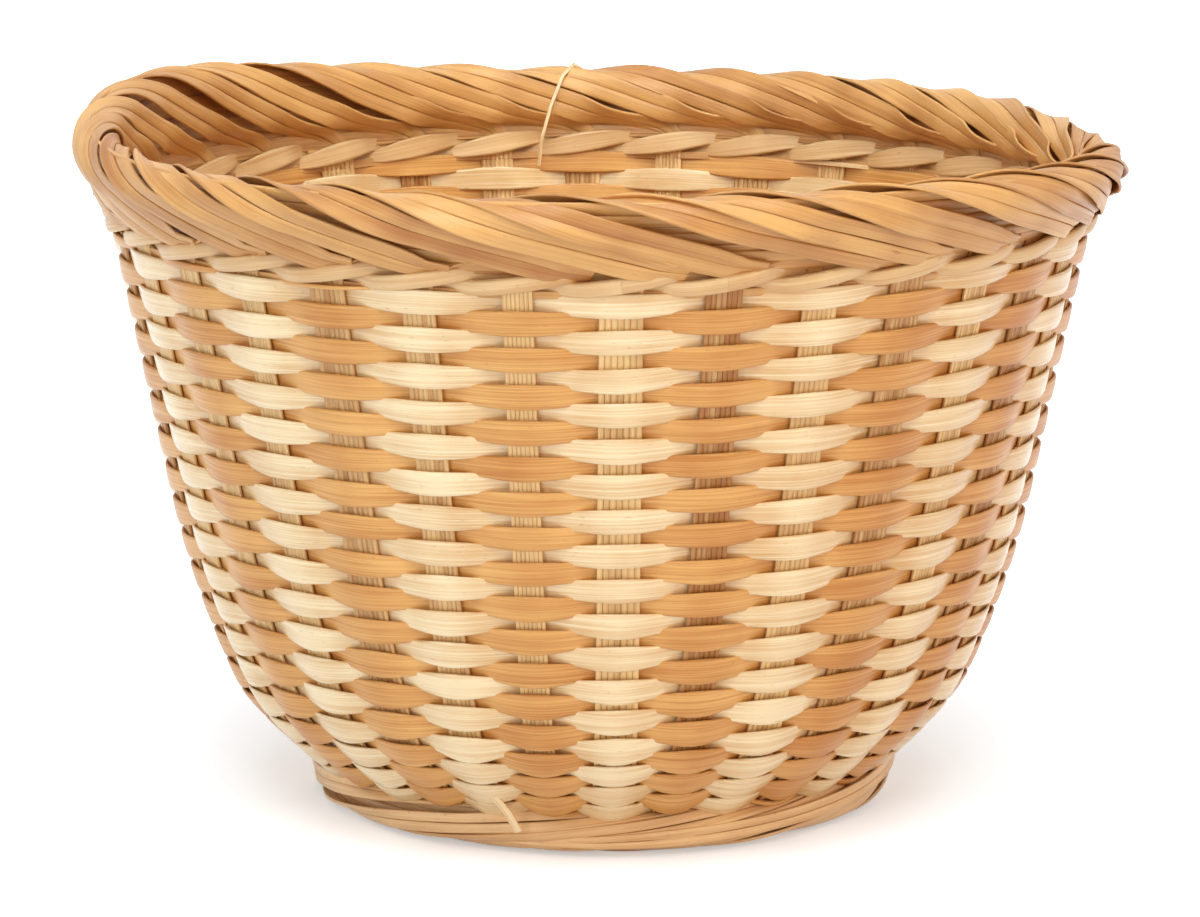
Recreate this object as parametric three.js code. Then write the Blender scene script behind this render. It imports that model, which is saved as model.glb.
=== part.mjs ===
// Round bread basket woven of bamboo splints. Flat stakes cross in the floor and rise through a wall of
// light and dark weavers that chase each other round, are held by a twined row, and roll into the border.
// A low foot of splints is laid round under the floor.
// Millimetres, Z up. The basket stands on Z = 0 with its axis on Z, and its front faces -Y.
import * as THREE from 'three';

// Stakes: four bundles of parallel spokes, each spoke giving two stakes
const SPOKE_GROUPS = 4;
const SPOKES_PER_GROUP = 4;
const STAKE_WIDTH = 6.4;
const STAKE_THICKNESS = 0.6;
const FIRST_STAKE_DEGREES = -87.7;

// Wall profile, along the middle of the weave
const FLOOR_EDGE_RADIUS = 56.3;
const FLOOR_CREASE_DEGREES = 11.7;
const TURN_RADIUS = 30;
const BELLY_RADIUS = 180;
const BELLY_LEAN_DEGREES = 24;
const WALL_LEAN_DEGREES = 11.5;
const WALL_TOP_Z = 126.5;

// Weavers: light and dark splints, each climbing two rows in a round
const WEAVER_ROWS = 33;
const WEAVER_THICKNESS = 0.6;
const ROW_GAP = 0.35;
const STRIPS_PER_COLOUR = 8;
const STRIP_END_GAP = 1;
const NARROWEST_WEAVER = 1.2;

// Twined row: two strands that cross between the stakes, above the weavers
const TWINE_WIDTH = 1.6;
const TWINE_THICKNESS = 1.2;

// Border: the stakes' ends, rolled up the inside, over the crest and down the outside
const BORDER_THICKNESS = 9;
const BORDER_HEIGHT = 14;
const BORDER_LEAN_DEGREES = 14;
const BORDER_BEND_HEIGHT = 5;
const BORDER_TAIL_HEIGHT = 2;
const BORDER_GAP = 0.8;
const BORDER_RISE = 7.5;

// Foot: strands that come down inside, pass flat under and rise on the outside
const FOOT_STRANDS = 16;
const FOOT_HEIGHT = 8.8;
const FOOT_OVERHANG = 5;
const FOOT_DEPTH = 7.8;
const FOOT_STRAND_WIDTH = 5;
const FOOT_STRAND_THICKNESS = 0.8;
const FOOT_CORNER = 2.3;
const FOOT_GAP = 0.9;

// Play between splints that lie against each other
const CLEARANCE = 0.25;
const FLOOR_GAP = 0.6;
const FLOOR_SETTLE = 8;

const radians = THREE.MathUtils.degToRad;
const STAKES = 2 * SPOKE_GROUPS * SPOKES_PER_GROUP;
const STAKE_STEP = 2 * Math.PI / STAKES;

function stakeAngle(stake) {
  return radians(FIRST_STAKE_DEGREES) + stake * STAKE_STEP;
}

// Half the swing of a strand that runs straight from stake to stake and clears their edges on both sides
function archHeight(radius, strandThickness) {
  const clearOfStake = (STAKE_THICKNESS + strandThickness) / 2 + CLEARANCE;
  return clearOfStake / (1 - STAKE_WIDTH / (radius * STAKE_STEP));
}

// A straight run between stakes falls inside their circle, so the swing is centred a little outwards
const ARCH_SHIFT = STAKE_WIDTH * STAKE_STEP / 4;

// The floor lies above the foot by the depth of the weavers that pass under the stakes
const LOWEST_ARCH = archHeight(FLOOR_EDGE_RADIUS, WEAVER_THICKNESS) + ARCH_SHIFT + WEAVER_THICKNESS / 2;
const FLOOR_Z = FOOT_HEIGHT + CLEARANCE + LOWEST_ARCH;

// Wall outline from the crease at the floor's edge up: turn-up, belly, and a straight lean
function wallOutline() {
  const turnSteps = 3;
  const bellySteps = 2;
  const crease = radians(FLOOR_CREASE_DEGREES);
  const bellyLean = radians(BELLY_LEAN_DEGREES);
  const wallLean = radians(WALL_LEAN_DEGREES);
  const outline = [new THREE.Vector2(FLOOR_EDGE_RADIUS, FLOOR_Z)];
  for (let i = 1; i <= turnSteps; i++) {
    const turned = THREE.MathUtils.lerp(crease, Math.PI / 2 - bellyLean, i / turnSteps);
    const r = FLOOR_EDGE_RADIUS + TURN_RADIUS * (Math.sin(turned) - Math.sin(crease));
    outline.push(new THREE.Vector2(r, FLOOR_Z + TURN_RADIUS * (Math.cos(crease) - Math.cos(turned))));
  }
  const belly = outline[turnSteps];
  for (let i = 1; i <= bellySteps; i++) {
    const lean = THREE.MathUtils.lerp(bellyLean, wallLean, i / bellySteps);
    const r = belly.x + BELLY_RADIUS * (Math.cos(lean) - Math.cos(bellyLean));
    outline.push(new THREE.Vector2(r, belly.y + BELLY_RADIUS * (Math.sin(bellyLean) - Math.sin(lean))));
  }
  const shoulder = outline[turnSteps + bellySteps];
  const topRadius = shoulder.x + (WALL_TOP_Z - shoulder.y) * Math.tan(wallLean);
  outline.push(new THREE.Vector2(topRadius, WALL_TOP_Z));
  return outline;
}

const WALL = wallOutline();
const WALL_TOP = WALL[WALL.length - 1];
const WALL_LENGTH = WALL.slice(1).reduce((sum, point, i) => sum + point.distanceTo(WALL[i]), 0);

// Point on the wall outline at a length from the floor's edge
function onWall(length) {
  let left = length;
  for (let i = 1; i < WALL.length; i++) {
    const run = WALL[i].distanceTo(WALL[i - 1]);
    if (left <= run || i === WALL.length - 1) {
      return WALL[i - 1].clone().lerp(WALL[i], left / run);
    }
    left -= run;
  }
}

// A point or direction in the radial section, turned to an angle round the axis
function turnedTo(angle, section) {
  return new THREE.Vector3(section.x * Math.cos(angle), section.x * Math.sin(angle), section.y);
}

// The side of a section line that faces the inside of the basket
function insideOf(direction) {
  return new THREE.Vector2(-direction.y, direction.x).normalize();
}

// Closed strip lofted through stations: centre, across, face, width and thickness at each
function stripGeometry(stations) {
  const corners = [];
  for (const { centre, across, face, width, thickness } of stations) {
    for (const [side, level] of [[-1, -1], [1, -1], [1, 1], [-1, 1]]) {
      const corner = centre.clone();
      corner.addScaledVector(across, side * width / 2);
      corner.addScaledVector(face, level * thickness / 2);
      corners.push(corner);
    }
  }
  // Opposite sides split along the same diagonal, so that a strip keeps its thickness where it twists
  const index = [0, 2, 1, 0, 3, 2];
  for (let i = 0; i + 1 < stations.length; i++) {
    for (let side = 0; side < 4; side++) {
      const here = 4 * i + side;
      const next = 4 * i + (side + 1) % 4;
      if (side < 2) {
        index.push(here, next, next + 4, here, next + 4, here + 4);
      } else {
        index.push(here, next, here + 4, next, next + 4, here + 4);
      }
    }
  }
  const end = 4 * (stations.length - 1);
  index.push(end, end + 1, end + 2, end, end + 2, end + 3);
  const geometry = new THREE.BufferGeometry().setFromPoints(corners);
  geometry.setIndex(index);
  geometry.computeVertexNormals();
  return geometry;
}

// Gives each station the direction across the strip, square to its face and to the run of the strip
function layAcross(stations) {
  stations.forEach((station, i) => {
    const before = stations[Math.max(i - 1, 0)].centre;
    const after = stations[Math.min(i + 1, stations.length - 1)].centre;
    const run = after.clone().sub(before);
    station.across = station.face.clone().cross(run).normalize();
  });
  return stations;
}

// Draws the last station of a strip back from the strip that follows it
function drawBack(stations, end, neighbour, distance) {
  const centre = stations[end].centre.clone();
  const run = stations[neighbour].centre.clone().sub(centre).setLength(distance);
  stations[end] = { ...stations[end], centre: centre.add(run) };
}

const basket = new THREE.Group();

function addSplint(name, stations, colour, roughness) {
  const material = new THREE.MeshStandardMaterial({ color: colour, roughness, metalness: 0 });
  const splint = new THREE.Mesh(stripGeometry(stations), material);
  splint.name = name;
  basket.add(splint);
}

function numbered(name, number) {
  return `${name}_${String(number).padStart(2, '0')}`;
}

// Border section in its own leaning axes: a bend to the inner face, the inner face, the crest, the outer face
const BORDER_HALF = (BORDER_THICKNESS - STAKE_THICKNESS) / 2;
const CREST_CENTRE = BORDER_HEIGHT - BORDER_THICKNESS / 2;

function borderOutline() {
  const outline = new THREE.Path();
  const bend = BORDER_BEND_HEIGHT;
  outline.moveTo(0, 0);
  outline.bezierCurveTo(0, bend / 2, -BORDER_HALF, bend / 2, -BORDER_HALF, bend);
  outline.lineTo(-BORDER_HALF, CREST_CENTRE);
  outline.absarc(0, CREST_CENTRE, BORDER_HALF, Math.PI, 0, true);
  outline.lineTo(BORDER_HALF, BORDER_TAIL_HEIGHT);
  return outline;
}

const BORDER = borderOutline();
const [BEND_END, INNER_END, CREST_END, TAIL_END] = BORDER.getCurveLengths();

function leaned(direction) {
  return direction.clone().rotateAround(new THREE.Vector2(), -radians(BORDER_LEAN_DEGREES));
}

// The hand-rolled border stands highest on the left
function borderRise(angle, height) {
  const leftness = (1 - Math.cos(angle)) / 2;
  return BORDER_RISE * Math.pow(leftness, 4) * height / BORDER_HEIGHT;
}

function borderStation(length, angle) {
  const place = BORDER.getPointAt(length / TAIL_END);
  const centre = turnedTo(angle, leaned(place).add(WALL_TOP));
  centre.z += borderRise(angle, place.y);
  return { centre, face: turnedTo(angle, leaned(insideOf(BORDER.getTangentAt(length / TAIL_END)))) };
}

// A stake's end in the border: it turns over on its edge, then winds side by side with its neighbours
function borderStations(stake) {
  const spacing = WALL_TOP.x * STAKE_STEP;
  const slope = Math.asin((STAKE_WIDTH + BORDER_GAP) / spacing);
  const turn = Math.PI / 2 - slope;
  const turnRadius = 0.75 * STAKE_WIDTH;
  const turnedUp = turnRadius * Math.sin(turn);
  const turnedAside = turnRadius * (1 - Math.cos(turn));
  const stations = [];
  for (const part of [0.5, 1]) {
    const aside = turnRadius * (1 - Math.cos(part * turn));
    const angle = stakeAngle(stake) + aside / WALL_TOP.x;
    stations.push(borderStation(turnRadius * Math.sin(part * turn), angle));
  }
  const crest = [1, 2, 3].map((third) => THREE.MathUtils.lerp(INNER_END, CREST_END, third / 3));
  for (const length of [BEND_END, INNER_END, ...crest, TAIL_END]) {
    const aside = turnedAside + (length - turnedUp) / Math.tan(slope);
    stations.push(borderStation(length, stakeAngle(stake) + aside / WALL_TOP.x));
  }
  return stations;
}

// Half a spoke, from where its bundle fans out on the floor, up the wall and into the border
const FAN_ANGLE = (SPOKES_PER_GROUP - 1) / 2 * STAKE_STEP;
const FAN_RADIUS = (SPOKES_PER_GROUP - 1) / 2 * (STAKE_WIDTH + FLOOR_GAP) / Math.sin(FAN_ANGLE);

function halfSpoke(stake, layer) {
  const angle = stakeAngle(stake);
  const fan = new THREE.Vector2(FAN_RADIUS, FLOOR_Z + layer);
  const settled = new THREE.Vector2(FAN_RADIUS + FLOOR_SETTLE, FLOOR_Z);
  const level = turnedTo(angle, new THREE.Vector2(0, 1));
  const stations = [fan, settled].map((place) => ({ centre: turnedTo(angle, place), face: level }));
  WALL.forEach((place, i) => {
    const before = WALL[i - 1] ?? settled;
    const after = WALL[i + 1] ?? place;
    const face = turnedTo(angle, insideOf(after.clone().sub(before)));
    stations.push({ centre: turnedTo(angle, place), face });
  });
  return stations.concat(borderStations(stake));
}

// Spokes cross in the floor, one bundle above the other
function addSpokes() {
  const layerPitch = STAKE_THICKNESS + CLEARANCE;
  for (let group = 0; group < SPOKE_GROUPS; group++) {
    const layer = (group - (SPOKE_GROUPS - 1) / 2) * layerPitch;
    for (let i = 0; i < SPOKES_PER_GROUP; i++) {
      const near = group * SPOKES_PER_GROUP + i;
      const far = STAKES / 2 + (group + 1) * SPOKES_PER_GROUP - 1 - i;
      const stations = [...halfSpoke(far, layer).reverse(), ...halfSpoke(near, layer)];
      stations.forEach((station) => Object.assign(station, { width: STAKE_WIDTH, thickness: STAKE_THICKNESS }));
      addSplint(numbered('spoke', near + 1), layAcross(stations), 0xd9ab68, 0.5);
    }
  }
}

// Twined row below the border, and the weave in the height that is left
const TWINE_ARCH = archHeight(WALL_TOP.x, TWINE_THICKNESS);
const TWINE_CROSSING = (TWINE_WIDTH + CLEARANCE) / 2 / (1 - (TWINE_THICKNESS + CLEARANCE) / (2 * TWINE_ARCH));
const TWINE_HALF_HEIGHT = TWINE_CROSSING + TWINE_WIDTH / 2 + CLEARANCE;
const ROW_PITCH = (WALL_LENGTH - 2 * TWINE_HALF_HEIGHT) / WEAVER_ROWS;

// A strand where it passes a stake, lying across the wall between two lengths of its outline
function passStake(stake, low, high, outside, thickness) {
  const bottom = onWall(low);
  const top = onWall(high);
  const middle = bottom.clone().lerp(top, 0.5);
  const up = top.clone().sub(bottom).normalize();
  const outward = insideOf(up).negate();
  const bulge = onWall((low + high) / 2).sub(middle).dot(outward);
  const arch = archHeight(middle.x, thickness);
  middle.addScaledVector(outward, ARCH_SHIFT + (outside ? arch + bulge : -arch));
  const angle = stakeAngle(stake);
  return {
    centre: turnedTo(angle, middle),
    across: turnedTo(angle, up),
    face: turnedTo(angle, outward),
    width: high - low,
    thickness,
    outside,
  };
}

// One colour's weaver over its whole climb, tapered where it starts and ends so that the weave is level
function weaverRun(firstStake, outsideOdd) {
  const run = [];
  const steps = (WEAVER_ROWS + 1) * STAKES / 2;
  for (let step = 0; step <= steps; step++) {
    const row = 2 * step / STAKES - 1;
    const low = ROW_PITCH * Math.max(row, 0) + ROW_GAP / 2;
    const high = ROW_PITCH * Math.min(row + 1, WEAVER_ROWS) - ROW_GAP / 2;
    const stake = firstStake + step;
    if (high - low >= NARROWEST_WEAVER) {
      run.push(passStake(stake, low, high, stake % 2 === outsideOdd, WEAVER_THICKNESS));
    }
  }
  return run;
}

// The climb is made of several splints, which meet inside a stake where the ends don't show
function addWeavers(name, firstStake, outsideOdd, colour) {
  const run = weaverRun(firstStake, outsideOdd);
  const cuts = [0];
  for (let strip = 1; strip < STRIPS_PER_COLOUR; strip++) {
    const cut = Math.round(run.length * strip / STRIPS_PER_COLOUR);
    cuts.push(run[cut].outside ? cut + 1 : cut);
  }
  cuts.push(run.length - 1);
  for (let strip = 0; strip < STRIPS_PER_COLOUR; strip++) {
    const stations = run.slice(cuts[strip], cuts[strip + 1] + 1);
    const last = stations.length - 1;
    if (strip > 0) {
      drawBack(stations, 0, 1, STRIP_END_GAP / 2);
    }
    if (strip < STRIPS_PER_COLOUR - 1) {
      drawBack(stations, last, last - 1, STRIP_END_GAP / 2);
    }
    addSplint(numbered(name, strip + 1), stations, colour, 0.35);
  }
}

// A twining strand passes in front of every second stake, and above the other strand on its way back inside
function addTwine(name, outsideOdd) {
  const middle = WALL_LENGTH - TWINE_HALF_HEIGHT;
  const low = middle - TWINE_WIDTH / 2;
  const high = middle + TWINE_WIDTH / 2;
  const stations = [];
  for (let step = 0; step <= STAKES; step++) {
    const stake = step + 1 - outsideOdd;
    const here = passStake(stake, low, high, stake % 2 === outsideOdd, TWINE_THICKNESS);
    stations.push(here);
    if (step < STAKES) {
      const next = passStake(stake + 1, low, high, !here.outside, TWINE_THICKNESS);
      const across = here.across.clone().add(next.across).normalize();
      const centre = here.centre.clone().lerp(next.centre, 0.5);
      centre.addScaledVector(across, here.outside ? TWINE_CROSSING : -TWINE_CROSSING);
      const face = here.face.clone().add(next.face).normalize();
      stations.push({ centre, across, face, width: TWINE_WIDTH, thickness: TWINE_THICKNESS });
    }
  }
  const last = stations.length - 1;
  drawBack(stations, 0, 1, STRIP_END_GAP / 2);
  drawBack(stations, last, last - 1, STRIP_END_GAP / 2);
  addSplint(name, stations, 0xecd6a6, 0.4);
}

// Foot strands lie side by side on a low trough: down its inside, flat under it and up its outside
function addFoot() {
  const outer = FLOOR_EDGE_RADIUS + FOOT_OVERHANG - FOOT_STRAND_THICKNESS / 2;
  const inner = outer - FOOT_DEPTH + FOOT_STRAND_THICKNESS;
  const ground = FOOT_STRAND_THICKNESS / 2;
  const slope = Math.asin((FOOT_STRAND_WIDTH + FOOT_GAP) / (outer * 2 * Math.PI / FOOT_STRANDS));
  const halfHeight = FOOT_STRAND_WIDTH / 2 * Math.cos(slope);
  const rise = ground + Math.max(FOOT_CORNER, halfHeight);
  const underStakes = FLOOR_Z - STAKE_THICKNESS / 2 - CLEARANCE;
  const cornerMiddle = halfHeight * Math.SQRT1_2;
  const down = new THREE.Vector2(0, -1);
  const aslant = new THREE.Vector2(1, -1);
  const outwards = new THREE.Vector2(1, 0);
  const up = new THREE.Vector2(0, 1);
  const outline = [
    { place: new THREE.Vector2(inner, underStakes - halfHeight), run: down },
    { place: new THREE.Vector2(inner, rise), run: down },
    { place: new THREE.Vector2(inner + cornerMiddle, ground + cornerMiddle), run: aslant },
    { place: new THREE.Vector2(inner + FOOT_CORNER, ground), run: outwards },
    { place: new THREE.Vector2(outer - FOOT_CORNER, ground), run: outwards },
    { place: new THREE.Vector2(outer, rise), run: up },
    { place: new THREE.Vector2(outer, FOOT_HEIGHT - halfHeight), run: up },
  ];
  for (let strand = 0; strand < FOOT_STRANDS; strand++) {
    let angle = stakeAngle(strand * STAKES / FOOT_STRANDS);
    const stations = outline.map(({ place, run }, i) => {
      const step = i > 0 ? place.distanceTo(outline[i - 1].place) : 0;
      angle += step / Math.tan(slope) / outer;
      const centre = turnedTo(angle, place);
      const face = turnedTo(angle, insideOf(run));
      return { centre, face, width: FOOT_STRAND_WIDTH, thickness: FOOT_STRAND_THICKNESS };
    });
    addSplint(numbered('foot_strand', strand + 1), layAcross(stations), 0xd6a25c, 0.5);
  }
}

addSpokes();
addWeavers('light_weaver', STAKES / 2, 0, 0xead2a0);
addWeavers('dark_weaver', 0, 1, 0xcf9047);
addTwine('twine_front_even', 0);
addTwine('twine_front_odd', 1);
addFoot();

export default basket;
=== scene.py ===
"""Round bread basket woven of bamboo splints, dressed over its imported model.

Each strand of the basket is a guide: a line of stations that says where the strand runs, which way it
faces and how wide it is. A Geometry Nodes tree lays fine splints along the guides.
Lengths are in metres. The basket stands on Z = 0 and its front faces -Y.
"""
import math

import bpy
import numpy as np
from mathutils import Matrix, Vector


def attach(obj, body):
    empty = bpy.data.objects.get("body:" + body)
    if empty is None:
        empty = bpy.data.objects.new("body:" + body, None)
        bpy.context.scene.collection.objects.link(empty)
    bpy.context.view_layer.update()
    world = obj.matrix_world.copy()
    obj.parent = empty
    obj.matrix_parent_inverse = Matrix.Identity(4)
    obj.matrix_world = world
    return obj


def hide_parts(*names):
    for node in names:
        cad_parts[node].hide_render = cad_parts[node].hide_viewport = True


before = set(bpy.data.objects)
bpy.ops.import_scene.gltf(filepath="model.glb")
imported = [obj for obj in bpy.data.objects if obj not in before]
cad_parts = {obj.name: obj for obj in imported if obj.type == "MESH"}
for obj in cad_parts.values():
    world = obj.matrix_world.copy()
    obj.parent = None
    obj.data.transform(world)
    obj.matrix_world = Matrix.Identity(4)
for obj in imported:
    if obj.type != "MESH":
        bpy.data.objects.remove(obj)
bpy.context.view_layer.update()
MM = 0.001
UP = (0, 0, 1)
OUT = (1, 0)

# Spokes, which cross in the floor in bundles and rise through the wall as stakes
STAKES = 32
SPOKES = STAKES // 2
STAKE_STEP = 2 * math.pi / STAKES
FIRST_STAKE = math.radians(-87.7)
STAKE_WIDTH = 6.6 * MM
STAKE_WIDTH_SPREAD = (0.88, 1.3)
STAKE_WIDTH_SEED = 134
STAKE_TONE_SEED = 36594
STAKE_THICKNESS = 0.7 * MM
BUNDLES = 4
SPOKES_PER_BUNDLE = SPOKES // BUNDLES
BUNDLE_EDGE = (SPOKES_PER_BUNDLE - 1) / 2
BUNDLE_PITCH = 7 * MM
BUNDLE_LAYER = 0.85 * MM
FAN_RADIUS = BUNDLE_EDGE * BUNDLE_PITCH / math.sin(BUNDLE_EDGE * STAKE_STEP)
FLOOR_SPOKE_WIDTH = 5.2 * MM
FLOOR_EDGE_RADIUS = 50 * MM
FLOOR_Z = 11.7 * MM

# Wall, a line of arcs from the foot up, with a straight top
BASE_RADIUS = 87 * MM
BASE_SLOPE = math.radians(38)
TURN_CENTRE = np.array([50.2, 41.1]) * MM
TURN_RADIUS = 30 * MM
TURN_SLOPE = math.radians(50)
BELLY_RADIUS = 180 * MM
BELLY_LEAN = math.radians(24)
WALL_LEAN = math.radians(11.5)
WALL_TOP_Z = 126.5 * MM
TWINE_BAND = 5.3 * MM

# Weavers, whose places are lengths up the wall's line
WEAVER_ROWS = 33
STRIPS_PER_COLOUR = 8
STATIONS_PER_STAKE = 8
WEAVER_THICKNESS = 0.7 * MM
WEAVER_ARCH = 0.84 * MM
WEAVER_ARCH_LIMIT = 1.5 * MM
STAKE_BEARING = 0.8
ROW_DRIFT = 0.16 * MM
ROW_LEAST_SHARE = 0.12
COVER_PLACES = np.array([6, 34]) * MM
COVERS = (1.38, 1.18)
LENS_PLACES = np.array([4, 36, 70]) * MM
LENS_SWELLS = np.array([3.1, 1.6, 0.9]) * MM
LENS_POINT = 1.25
LENS_SPREAD = 0.13

# Weavers' tones, from pale at 0 to deep at 1, with painted shade that deepens them on the right
STRIP_TONE = 0.4
STRIP_TONE_SPREAD = 0.2
STRIP_TONE_CLIMB = 0.15
RIGHT_SIDE_PAINTED_SHADE = 0.6
PAINTED_SHADE_FACING = math.radians(-28)
PAINTED_SHADE_SPREAD = math.radians(42)
# Painted highlight: pale strips are lightened where they bend outward; honey strips deepen there.
PALE_BEND_HIGHLIGHT = -0.6
HONEY_BEND_TONE = 0.25

# Border, rolled up the inside, over the crest and down the outside
BORDER_HALF = 4.1 * MM
BORDER_HEIGHT = 14 * MM
BORDER_LEAN = math.radians(14)
BORDER_SLOPE = math.radians(17)
BORDER_ROOT = 4 * MM
BORDER_BEND = 5 * MM
BORDER_TAIL = np.array([2.3, 0.9]) * MM
BORDER_TUCK = np.array([1.3, 1.4]) * MM
BORDER_THICKNESS = 0.65 * MM
CREST_CENTRE = 9.4 * MM
CREST_OVERHANG = math.radians(12)
RISE = 7.4 * MM
RISE_FACING = math.radians(156)
RISE_SPREAD = math.radians(34)
DROOP = 3.6 * MM
DROOP_FACING = 0
DROOP_SPREAD = math.radians(32)
CORE_HEIGHTS = np.array([0.6, 2.5, 4.4, 6.3, 8.2, 10.1, 11.6, 12.7]) * MM
BINDER_HEIGHTS = np.array([-5.3, -0.4]) * MM

# Foot, a low trough that the model's strands and the bands shown here wind round
FOOT_STRANDS = 16
FOOT_BANDS = 10
FOOT_TOP = 8.2 * MM
FOOT_OUTER = 60.8 * MM
FOOT_INNER = 53.9 * MM
FOOT_GROUND = 1.25 * MM
FOOT_CORNER = 2.6 * MM
FOOT_CLOSING = math.radians(165)
FOOT_SLOPE = math.radians(6.5)
FOOT_THICKNESS = 0.7 * MM

rng = np.random.default_rng(11)


def stake_angle(stake):
    return FIRST_STAKE + stake * STAKE_STEP


def unit(vectors):
    return vectors / np.linalg.norm(vectors, axis=1)[:, None]


def repeated(row, count):
    return np.tile(np.asarray(row, float), (count, 1))


def swelling(angle, facing, spread):
    """One at the facing angle, falling off to both sides."""
    away = np.angle(np.exp(1j * (angle - facing)))
    return np.exp(-(away / spread) ** 2)


# Lines in the radial section, as arrays of radius and height

class SectionLine:
    """A line in the radial section that is read by its length."""

    def __init__(self, points):
        points = np.asarray(points, float)
        least_step = 1e-9
        step = np.linalg.norm(np.diff(points, axis=0), axis=1)
        self.points = points[np.r_[True, step > least_step]]
        step = np.linalg.norm(np.diff(self.points, axis=0), axis=1)
        self.lengths = np.r_[0, np.cumsum(step)]
        self.length = self.lengths[-1]

    def at(self, length):
        return np.c_[np.interp(length, self.lengths, self.points[:, 0]),
                     np.interp(length, self.lengths, self.points[:, 1])]

    def run(self, length):
        step = 0.2 * MM
        ahead = self.at(np.minimum(length + step, self.length))
        back = self.at(np.maximum(length - step, 0))
        return unit(ahead - back)


def arc_of(centre, radius, start, stop, steps):
    turn = np.linspace(start, stop, steps)
    return np.c_[centre[0] + radius * np.cos(turn), centre[1] + radius * np.sin(turn)]


def slope_arc(centre, radius, first, last, steps):
    """An arc from one slope of the line to another, bending up as it goes out."""
    return arc_of(centre, radius, first - math.pi / 2, last - math.pi / 2, steps)


def arc_centre(point, radius, slope):
    """The centre of an arc that passes a point with the given slope."""
    return point - radius * np.array([math.sin(slope), -math.cos(slope)])


def wall_line():
    """From the foot up: a flaring base, the turn-up, the belly and a straight lean."""
    belly_slope = math.pi / 2 - BELLY_LEAN
    turn = slope_arc(TURN_CENTRE, TURN_RADIUS, TURN_SLOPE, belly_slope, steps=12)
    base_centre = arc_centre(turn[0], BASE_RADIUS, TURN_SLOPE)
    base = slope_arc(base_centre, BASE_RADIUS, BASE_SLOPE, TURN_SLOPE, steps=12)
    belly_centre = arc_centre(turn[-1], BELLY_RADIUS, belly_slope)
    belly = slope_arc(belly_centre, BELLY_RADIUS, belly_slope, math.pi / 2 - WALL_LEAN, steps=16)
    shoulder = belly[-1]
    top = (shoulder[0] + (WALL_TOP_Z - shoulder[1]) * math.tan(WALL_LEAN), WALL_TOP_Z)
    return SectionLine(np.vstack([base, turn, belly, [top]]))


def border_line():
    """The roll in its own leaning axes, out from the wall's line and up, from behind the twined row."""
    root = (0, -BORDER_ROOT)
    bend_steps = 14
    t = np.linspace(0, 1, bend_steps)[:, None]
    bend = (3 * (1 - t) ** 2 * t * np.array([0, BORDER_BEND / 2])
            + 3 * (1 - t) * t ** 2 * np.array([-BORDER_HALF, BORDER_BEND / 2])
            + t ** 3 * np.array([-BORDER_HALF, BORDER_BEND]))
    crest = arc_of((0, CREST_CENTRE), BORDER_HALF, math.pi, -CREST_OVERHANG, steps=26)
    return SectionLine(np.vstack([[root], bend, crest, [BORDER_TAIL, BORDER_TAIL - BORDER_TUCK]]))


def foot_line():
    """Down the inside, under, up the outside of the trough, and in again at its top."""
    start = (FOOT_INNER, FOOT_TOP)
    low = FOOT_GROUND + FOOT_CORNER
    outer_middle = FOOT_OUTER - FOOT_CORNER
    inner = arc_of((FOOT_INNER + FOOT_CORNER, low), FOOT_CORNER, math.pi, 1.5 * math.pi, steps=10)
    outer = arc_of((outer_middle, low), FOOT_CORNER, 1.5 * math.pi, 2 * math.pi, steps=10)
    top = arc_of((outer_middle, FOOT_TOP - FOOT_CORNER), FOOT_CORNER, 0, FOOT_CLOSING, steps=16)
    return SectionLine(np.vstack([[start], inner, outer, top]))


WALL = wall_line()
WALL_START = WALL.points[0]
WALL_TOP = WALL.points[-1]
ROW_PITCH = (WALL.length - TWINE_BAND) / WEAVER_ROWS
BORDER = border_line()
FOOT = foot_line()


# Guides: stations of a strand, in space

def turned_to(angle, section):
    return np.c_[section[:, 0] * np.cos(angle), section[:, 0] * np.sin(angle), section[:, 1]]


def inside_of(direction):
    return np.c_[-direction[:, 1], direction[:, 0]]


def strand(centre, face, width, thickness, tone=0.5, tilt=0.0):
    """A guide: stations with the direction across, square to the face and to the run."""
    run = unit(np.gradient(centre, axis=0))
    across = unit(np.cross(face, run))
    face = unit(np.cross(run, across)) * math.cos(tilt) + across * math.sin(tilt)
    step = np.linalg.norm(np.diff(centre, axis=0), axis=1)
    return {
        "centre": centre,
        "across": unit(np.cross(face, run)),
        "face": face,
        "width": np.broadcast_to(width, len(centre)),
        "thickness": np.broadcast_to(thickness, len(centre)),
        "along": np.r_[0, np.cumsum(step)],
        "tone": np.broadcast_to(tone, len(centre)),
    }


# Weavers and stakes

def strip_tone(strip, angle, swing, bend_highlight_and_tone):
    """Strips differ, deepen up the wall, take painted shade on the right, and change at outward bends."""
    own = STRIP_TONE + STRIP_TONE_SPREAD * rng.uniform() + STRIP_TONE_CLIMB * strip / STRIPS_PER_COLOUR
    # Painted shade: the right side is darkened, as if the light came from the left.
    side = RIGHT_SIDE_PAINTED_SHADE * swelling(angle, PAINTED_SHADE_FACING, PAINTED_SHADE_SPREAD)
    # Pale strips take a painted highlight at their outward bends; honey strips deepen there.
    return own + side + bend_highlight_and_tone * np.maximum(swing, 0) ** 2


def strip_ends(first, last, inside):
    """Where a climb is cut into strips: behind the stakes that are nearest to equal lengths."""
    ends = [first]
    for strip in range(1, STRIPS_PER_COLOUR):
        wanted = first + (last - first) * strip / STRIPS_PER_COLOUR
        ends.append(inside[np.argmin(np.abs(inside - wanted))])
    return ends + [last]


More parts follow.
